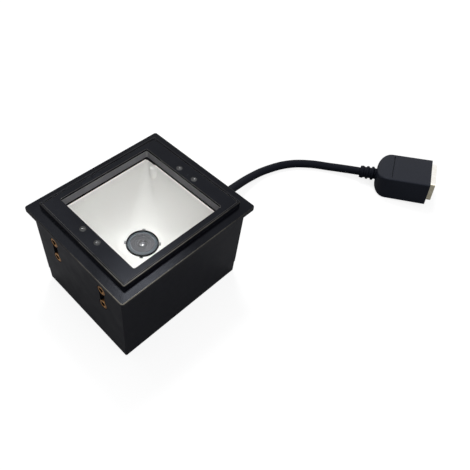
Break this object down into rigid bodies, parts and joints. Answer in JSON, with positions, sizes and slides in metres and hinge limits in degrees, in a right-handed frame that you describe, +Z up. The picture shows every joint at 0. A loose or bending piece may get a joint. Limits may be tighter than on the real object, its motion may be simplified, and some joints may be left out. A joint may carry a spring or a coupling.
{
  "type": "fixed-mount barcode scanner",
  "caption": "Flanged black housing with a square window over a white reflector and a camera, slotted ends with brass inserts, and a short cord to a network-type socket.",
  "frame": {"origin": "centre of the housing's underside, on the surface that it stands on; the cord and its socket don't count", "axes": "+Z up, out of the window; +Y along the flange's long side, towards the end that the cord leaves; +X along its short side, to the right seen from the front"},
  "size_m": [0.1128, 0.2174, 0.0556],
  "materials": {
    "housing_plastic": "fine moulded texture",
    "frame_plastic": "satin",
    "collar_plastic": "satin",
    "clear_pane": "clear",
    "white_plastic": "satin white",
    "lens_plastic": "satin",
    "smoked_plastic": "smoked",
    "board_green": "solder mask",
    "chip_black": "matt",
    "cover_plastic": "fine moulded texture",
    "boot_rubber": "matt",
    "cord_sheath": "matt",
    "socket_plastic": "fine moulded texture",
    "jack_plating": "bright plating",
    "jack_plastic": "satin",
    "pipe_plastic": "glossy",
    "screw_steel": "zinc plated",
    "brass": "turned",
    "contact_gold": "gold plated"
  },
  "bodies": {
    "root": {"housing": "housing_plastic", "window_frame": "frame_plastic", "window_collar": "collar_plastic", "window_pane": "clear_pane", "reflector": "white_plastic", "lens_ring": "lens_plastic", "camera_holder": "lens_plastic", "lens_cover": "smoked_plastic", "main_board": "board_green", "processor": "chip_black", "bottom_cover": "cover_plastic", "cord_boot": "boot_rubber", "cord": "cord_sheath", "socket_shell": "socket_plastic", "socket_relief": "boot_rubber", "jack_shield": "jack_plating", "jack_insulator": "jack_plastic", "light_pipe_front_left": "pipe_plastic", "light_pipe_front_right": "pipe_plastic", "light_pipe_back_left": "pipe_plastic", "light_pipe_back_right": "pipe_plastic", "cover_screw_front_left": "screw_steel", "cover_screw_front_right": "screw_steel", "cover_screw_back_left": "screw_steel", "cover_screw_back_right": "screw_steel", "insert_front_left_high": "brass", "insert_front_left_low": "brass", "insert_front_right_high": "brass", "insert_front_right_low": "brass", "insert_back_left_high": "brass", "insert_back_left_low": "brass", "insert_back_right_high": "brass", "insert_back_right_low": "brass", "contact_1": "contact_gold", "contact_2": "contact_gold", "contact_3": "contact_gold", "contact_4": "contact_gold", "contact_5": "contact_gold", "contact_6": "contact_gold", "contact_7": "contact_gold", "contact_8": "contact_gold"}
  },
  "joints": []
}
